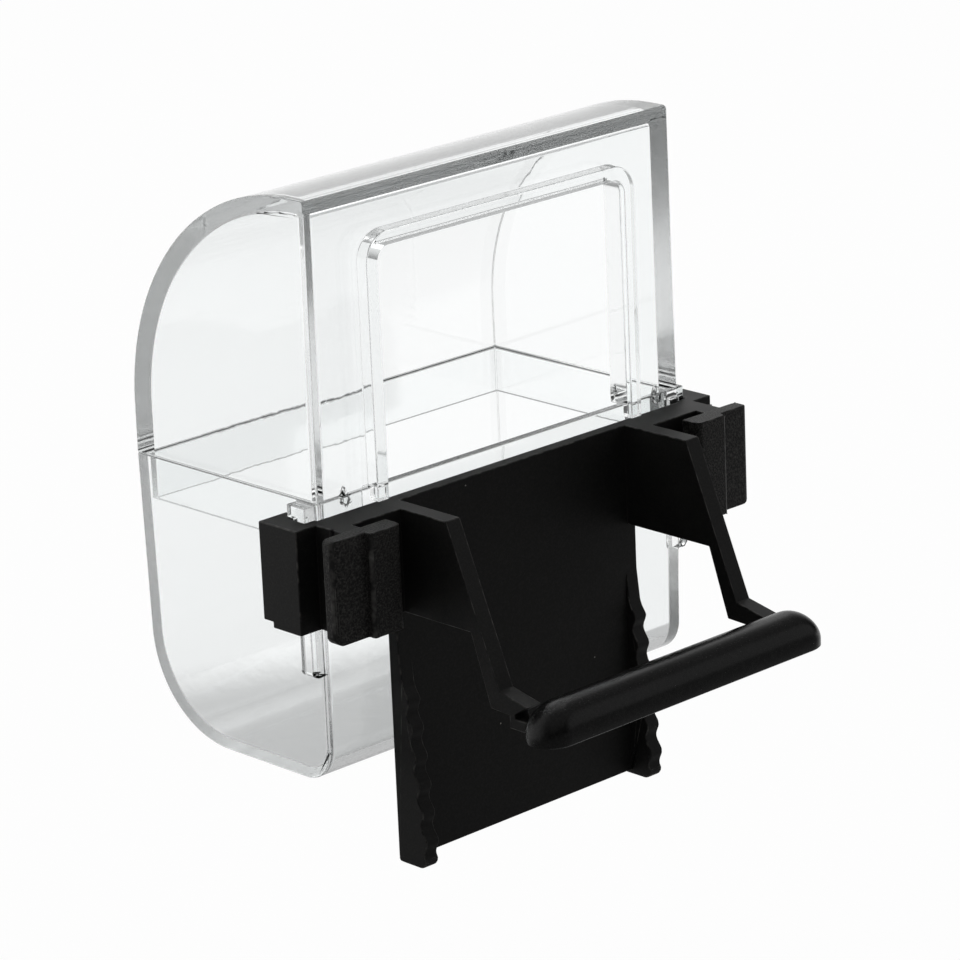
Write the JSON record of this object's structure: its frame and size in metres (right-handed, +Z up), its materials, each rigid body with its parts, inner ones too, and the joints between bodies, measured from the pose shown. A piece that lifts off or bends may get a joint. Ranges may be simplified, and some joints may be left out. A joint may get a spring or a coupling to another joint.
{
  "type": "bird cage feeder",
  "caption": "Clip-on outside bird cage feeder: a clear arched hood with a doorway plugs into a clear seed tray, which slides into a black bracket with wire grooves and a perch.",
  "frame": {"origin": "on the plane of the cage wall's wires, midway between the left and right wire grooves, level with the bracket's top edge", "axes": "+X along the cage wall, to the right as seen from inside the cage; +Y out of the cage, towards the tray; +Z up"},
  "size_m": [0.121, 0.1106, 0.1456],
  "materials": {
    "clear": "clear moulded polystyrene, glossy",
    "black": "moulded plastic, matt",
    "perch_black": "moulded plastic, satin"
  },
  "bodies": {
    "bracket": {"bracket": "black", "perch": "perch_black"},
    "tray": {"tray": "clear"},
    "hood": {"hood": "clear"}
  },
  "joints": [
    {"name": "tray_slide", "type": "slide", "parent": "bracket", "child": "tray", "axis": [0, 0, 1], "range_m": [0, 0.036]},
    {"name": "hood_lift", "type": "slide", "parent": "tray", "child": "hood", "axis": [0, 0, 1], "range_m": [0, 0.012]}
  ]
}
